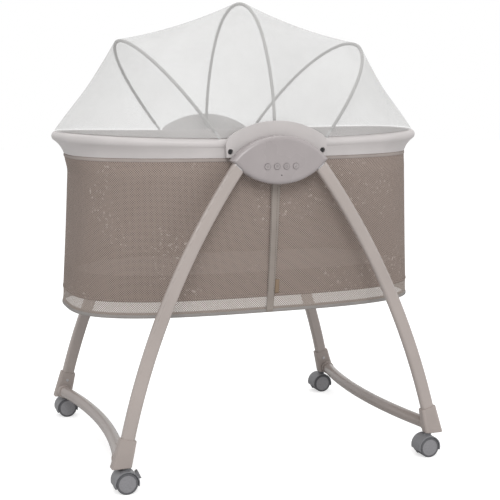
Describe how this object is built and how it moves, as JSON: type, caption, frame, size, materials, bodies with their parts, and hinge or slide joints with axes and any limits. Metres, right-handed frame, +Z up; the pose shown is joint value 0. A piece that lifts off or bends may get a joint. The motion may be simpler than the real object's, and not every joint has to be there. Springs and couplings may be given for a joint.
{
  "type": "bassinet",
  "caption": "Oval mesh bassinet hung between two pivot pods on a four-legged stand with swivel casters, under a net canopy on hoops.",
  "frame": {"origin": "on the floor, in the middle of the bounding box", "axes": "+X along the basket, towards the end away from the brakes; +Y across it, away from the side with the buttons; +Z up"},
  "size_m": [0.9352, 0.6926, 1.112],
  "materials": {
    "rim_plastic": "satin moulded",
    "pod_plastic": "satin moulded",
    "foot_plastic": "fine texture",
    "leg_paint": "satin powder coat",
    "bar_paint": "satin powder coat",
    "cast_alloy": "as cast",
    "steel": "turned",
    "bronze": "sintered",
    "copper_coil": "wound wire",
    "board_green": "lacquered",
    "button_plastic": "satin",
    "mesh_fabric": "knitted mesh",
    "skirt_fabric": "woven",
    "liner_fabric": "woven",
    "mattress_fabric": "quilted",
    "tape_fabric": "ribbed",
    "net_fabric": "sheer net",
    "hoop_plastic": "satin",
    "hem_plastic": "plain",
    "board_wood": "hardboard",
    "caster_plastic": "satin moulded",
    "wheel_plastic": "satin moulded",
    "brake_plastic": "satin moulded"
  },
  "bodies": {
    "stand": {"near_left_leg": "leg_paint", "near_left_foot": "foot_plastic", "near_right_leg": "leg_paint", "near_right_foot": "foot_plastic", "near_pod_cover": "pod_plastic", "near_pod_back": "pod_plastic", "near_leg_bracket": "cast_alloy", "far_left_leg": "leg_paint", "far_left_foot": "foot_plastic", "far_right_leg": "leg_paint", "far_right_foot": "foot_plastic", "far_pod_cover": "pod_plastic", "far_pod_back": "pod_plastic", "far_leg_bracket": "cast_alloy", "left_crossbar": "bar_paint", "right_crossbar": "bar_paint", "pivot_bearings": "bronze", "drive_coil": "copper_coil", "control_board": "board_green", "stand_screws": "steel"},
    "basket": {"near_hub_plate": "rim_plastic", "far_hub_plate": "rim_plastic", "near_pivot_shaft": "steel", "far_pivot_shaft": "steel", "magnet_arm": "steel", "plate_screws": "steel", "rim_band": "rim_plastic", "mesh_wall": "mesh_fabric", "skirt": "skirt_fabric", "hem_hoop": "hem_plastic", "liner": "liner_fabric", "base_board": "board_wood", "mattress": "mattress_fabric", "centre_tapes": "tape_fabric"},
    "canopy": {"left_hoop": "hoop_plastic", "middle_hoop": "hoop_plastic", "right_hoop": "hoop_plastic", "canopy_net": "net_fabric"},
    "power_key": {"power_button": "button_plastic"},
    "swing_key": {"swing_button": "button_plastic"},
    "timer_key": {"timer_button": "button_plastic"},
    "sound_key": {"sound_button": "button_plastic"},
    "near_left_caster": {"near_left_caster_hood": "caster_plastic", "near_left_axle": "steel"},
    "near_left_front_roller": {"near_left_front_wheel": "wheel_plastic"},
    "near_left_rear_roller": {"near_left_rear_wheel": "wheel_plastic"},
    "near_left_brake": {"near_left_brake_lever": "brake_plastic"},
    "near_right_caster": {"near_right_caster_hood": "caster_plastic", "near_right_axle": "steel"},
    "near_right_front_roller": {"near_right_front_wheel": "wheel_plastic"},
    "near_right_rear_roller": {"near_right_rear_wheel": "wheel_plastic"},
    "far_left_caster": {"far_left_caster_hood": "caster_plastic", "far_left_axle": "steel"},
    "far_left_front_roller": {"far_left_front_wheel": "wheel_plastic"},
    "far_left_rear_roller": {"far_left_rear_wheel": "wheel_plastic"},
    "far_left_brake": {"far_left_brake_lever": "brake_plastic"},
    "far_right_caster": {"far_right_caster_hood": "caster_plastic", "far_right_axle": "steel"},
    "far_right_front_roller": {"far_right_front_wheel": "wheel_plastic"},
    "far_right_rear_roller": {"far_right_rear_wheel": "wheel_plastic"}
  },
  "joints": [
    {"name": "basket_swing", "type": "hinge", "parent": "stand", "child": "basket", "pos_m": [0, 0, 0.7385], "axis": [0, 1, 0], "range_deg": [-8, 8]},
    {"name": "canopy_lift", "type": "slide", "parent": "basket", "child": "canopy", "axis": [0, 0, 1], "range_m": [0, 0.3]},
    {"name": "power_press", "type": "slide", "parent": "stand", "child": "power_key", "axis": [0, 1, 0], "range_m": [0, 0.001], "stiffness_N_per_m": 400},
    {"name": "swing_press", "type": "slide", "parent": "stand", "child": "swing_key", "axis": [0, 1, 0], "range_m": [0, 0.001], "stiffness_N_per_m": 400},
    {"name": "timer_press", "type": "slide", "parent": "stand", "child": "timer_key", "axis": [0, 1, 0], "range_m": [0, 0.001], "stiffness_N_per_m": 400},
    {"name": "sound_press", "type": "slide", "parent": "stand", "child": "sound_key", "axis": [0, 1, 0], "range_m": [0, 0.001], "stiffness_N_per_m": 400},
    {"name": "near_left_swivel", "type": "hinge", "parent": "stand", "child": "near_left_caster", "pos_m": [-0.383, -0.3245, 0.04], "axis": [0, 0, 1], "continuous": true},
    {"name": "near_left_front_roll", "type": "hinge", "parent": "near_left_caster", "child": "near_left_front_roller", "pos_m": [-0.387, -0.3245, 0.025], "axis": [0, 1, 0], "continuous": true},
    {"name": "near_left_rear_roll", "type": "hinge", "parent": "near_left_caster", "child": "near_left_rear_roller", "pos_m": [-0.387, -0.3245, 0.025], "axis": [0, 1, 0], "continuous": true},
    {"name": "near_left_brake_tip", "type": "hinge", "parent": "near_left_caster", "child": "near_left_brake", "pos_m": [-0.387, -0.3245, 0.025], "axis": [0, 1, 0], "range_deg": [0, 12]},
    {"name": "near_right_swivel", "type": "hinge", "parent": "stand", "child": "near_right_caster", "pos_m": [0.383, -0.3245, 0.04], "axis": [0, 0, 1], "continuous": true},
    {"name": "near_right_front_roll", "type": "hinge", "parent": "near_right_caster", "child": "near_right_front_roller", "pos_m": [0.379, -0.3245, 0.025], "axis": [0, 1, 0], "continuous": true},
    {"name": "near_right_rear_roll", "type": "hinge", "parent": "near_right_caster", "child": "near_right_rear_roller", "pos_m": [0.379, -0.3245, 0.025], "axis": [0, 1, 0], "continuous": true},
    {"name": "far_left_swivel", "type": "hinge", "parent": "stand", "child": "far_left_caster", "pos_m": [-0.383, 0.3245, 0.04], "axis": [0, 0, 1], "continuous": true},
    {"name": "far_left_front_roll", "type": "hinge", "parent": "far_left_caster", "child": "far_left_front_roller", "pos_m": [-0.387, 0.3245, 0.025], "axis": [0, 1, 0], "continuous": true},
    {"name": "far_left_rear_roll", "type": "hinge", "parent": "far_left_caster", "child": "far_left_rear_roller", "pos_m": [-0.387, 0.3245, 0.025], "axis": [0, 1, 0], "continuous": true},
    {"name": "far_left_brake_tip", "type": "hinge", "parent": "far_left_caster", "child": "far_left_brake", "pos_m": [-0.387, 0.3245, 0.025], "axis": [0, 1, 0], "range_deg": [0, 12]},
    {"name": "far_right_swivel", "type": "hinge", "parent": "stand", "child": "far_right_caster", "pos_m": [0.383, 0.3245, 0.04], "axis": [0, 0, 1], "continuous": true},
    {"name": "far_right_front_roll", "type": "hinge", "parent": "far_right_caster", "child": "far_right_front_roller", "pos_m": [0.379, 0.3245, 0.025], "axis": [0, 1, 0], "continuous": true},
    {"name": "far_right_rear_roll", "type": "hinge", "parent": "far_right_caster", "child": "far_right_rear_roller", "pos_m": [0.379, 0.3245, 0.025], "axis": [0, 1, 0], "continuous": true}
  ]
}
